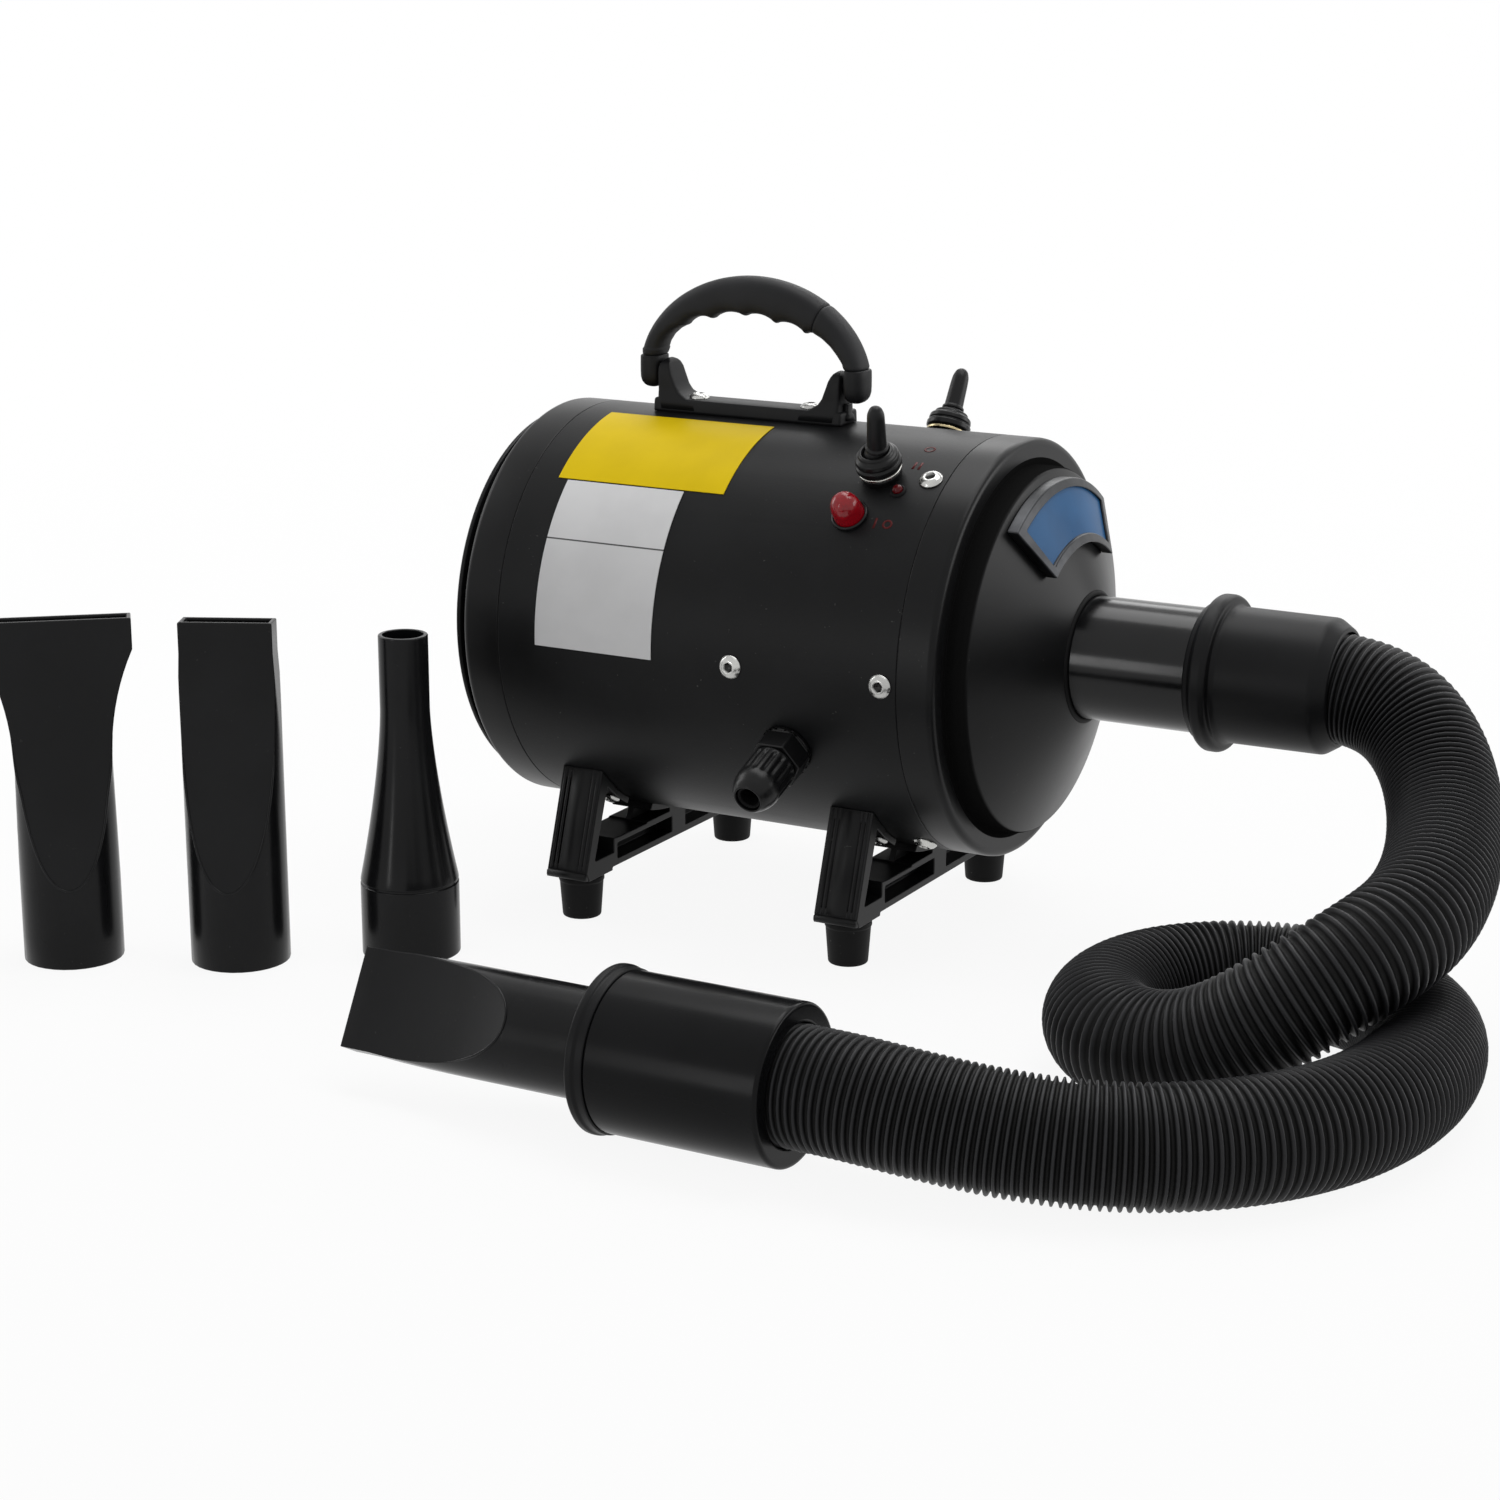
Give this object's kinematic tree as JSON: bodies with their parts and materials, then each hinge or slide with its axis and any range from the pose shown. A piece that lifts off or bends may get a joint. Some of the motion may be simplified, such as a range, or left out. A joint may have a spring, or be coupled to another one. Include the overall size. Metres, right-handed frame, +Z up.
{
  "type": "pet dryer",
  "caption": "Cylindrical pet dryer on rubber feet with a folding top handle, toggle switches, a ribbed air hose with a fitted slot nozzle, and loose spare nozzles.",
  "frame": {"origin": "on the surface the dryer stands on, under the middle of its steel shell", "axes": "+X along the blower's axis to the outlet, -Y the side with the labels and the mains gland, +Z up"},
  "size_m": [0.5966, 0.3944, 0.2719],
  "materials": {
    "shell_paint": "satin black powder coat",
    "cover_plastic": "smooth black moulding",
    "trim_plastic": "fine-grained dark grey moulding",
    "leg_plastic": "semi-matt black moulding",
    "grip_plastic": "fine-grained dark grey moulding",
    "cuff_plastic": "satin dark grey moulding",
    "tube_plastic": "satin black extrusion",
    "nozzle_plastic": "satin black moulding",
    "hose_plastic": "dark grey ribbed hose",
    "foot_rubber": "matt black",
    "black_rubber": "matt black",
    "lever_rubber": "matt black boot",
    "nut_plastic": "black",
    "bright_screw": "polished",
    "washer_metal": "plated",
    "steel": "plain",
    "frame_silver": "dark metallic border",
    "badge_blue": "bare blue plate",
    "red_lens": "red lens",
    "caution_film": "plain yellow film",
    "rating_film": "plain silver-grey film",
    "foam": "open-cell foam",
    "core_steel": "laminated",
    "winding": "copper winding under varnish",
    "sheet_aluminium": "spun",
    "mica": "mica board",
    "heater_wire": "resistance wire",
    "ceramic": "white",
    "carbon": "carbon in a plastic holder",
    "board_green": "circuit board"
  },
  "bodies": {
    "blower": {"body_shell": "shell_paint", "rear_cap": "cover_plastic", "rear_disc": "cover_plastic", "rear_screw": "bright_screw", "foam_filter": "foam", "front_cover": "cover_plastic", "badge_frame": "frame_silver", "badge_plate": "badge_blue", "outlet_tube": "tube_plastic", "outlet_seal": "black_rubber", "handle_base": "trim_plastic", "base_screws": "bright_screw", "switch_bodies": "nut_plastic", "switch_collars": "nut_plastic", "switch_washers": "washer_metal", "boot_nuts": "nut_plastic", "lamp_body": "nut_plastic", "lamp_lens": "red_lens", "shell_screws": "bright_screw", "gland_body": "nut_plastic", "gland_cap": "nut_plastic", "gland_seal": "black_rubber", "gland_locknut": "nut_plastic", "leg_bracket_rear": "leg_plastic", "leg_bracket_front": "leg_plastic", "feet": "foot_rubber", "foot_screws": "steel", "bracket_screws": "bright_screw", "caution_label": "caution_film", "rating_label": "rating_film", "fan_housing": "sheet_aluminium", "fan_cushion": "black_rubber", "motor_housing": "steel", "motor_mount": "trim_plastic", "stator": "core_steel", "bearings": "steel", "carbon_brushes": "carbon", "heater_duct": "sheet_aluminium", "heater_frame": "mica", "heater_coils": "heater_wire", "thermal_cutout": "ceramic", "control_board": "board_green"},
    "handle": {"handle_grip": "grip_plastic", "handle_elbow": "grip_plastic", "handle_caps": "trim_plastic", "hinge_pins": "steel"},
    "switch_lever_near": {"lever_near": "lever_rubber"},
    "switch_lever_far": {"lever_far": "lever_rubber"},
    "rotor": {"motor_shaft": "steel", "rotor_core": "winding", "impellers": "sheet_aluminium"},
    "hose_line": {"hose": "hose_plastic", "hose_cuff": "cuff_plastic", "far_cuff": "tube_plastic", "clamp_ring": "cuff_plastic", "nozzle_bush": "trim_plastic"},
    "slot_nozzle": {"fitted_nozzle": "nozzle_plastic"},
    "wide_nozzle": {"nozzle_wide": "nozzle_plastic"},
    "narrow_nozzle": {"nozzle_narrow": "nozzle_plastic"},
    "round_nozzle": {"nozzle_round": "nozzle_plastic"}
  },
  "joints": [
    {"name": "handle_fold", "type": "hinge", "parent": "blower", "child": "handle", "pos_m": [-0.018, 0, 0.2285], "axis": [1, 0, 0], "range_deg": [-90, 90]},
    {"name": "near_switch", "type": "hinge", "parent": "blower", "child": "switch_lever_near", "pos_m": [0.065, -0.04825, 0.20857], "axis": [0, 0.866, 0.5], "range_deg": [-24, 0]},
    {"name": "far_switch", "type": "hinge", "parent": "blower", "child": "switch_lever_far", "pos_m": [0.051, 0.04825, 0.20857], "axis": [0, 0.866, -0.5], "range_deg": [-12, 12]},
    {"name": "rotor_spin", "type": "hinge", "parent": "blower", "child": "rotor", "pos_m": [0, 0, 0.125], "axis": [1, 0, 0], "continuous": true},
    {"name": "hose_pull", "type": "slide", "parent": "blower", "child": "hose_line", "axis": [1, 0, 0], "range_m": [0, 0.04]},
    {"name": "nozzle_pull", "type": "slide", "parent": "hose_line", "child": "slot_nozzle", "axis": [-1, 0, 0], "range_m": [0, 0.05]},
    {"name": "wide_lift", "type": "slide", "parent": "blower", "child": "wide_nozzle", "axis": [0, 0, 1], "range_m": [0, 0.1]},
    {"name": "narrow_lift", "type": "slide", "parent": "blower", "child": "narrow_nozzle", "axis": [0, 0, 1], "range_m": [0, 0.1]},
    {"name": "round_lift", "type": "slide", "parent": "blower", "child": "round_nozzle", "axis": [0, 0, 1], "range_m": [0, 0.1]}
  ]
}
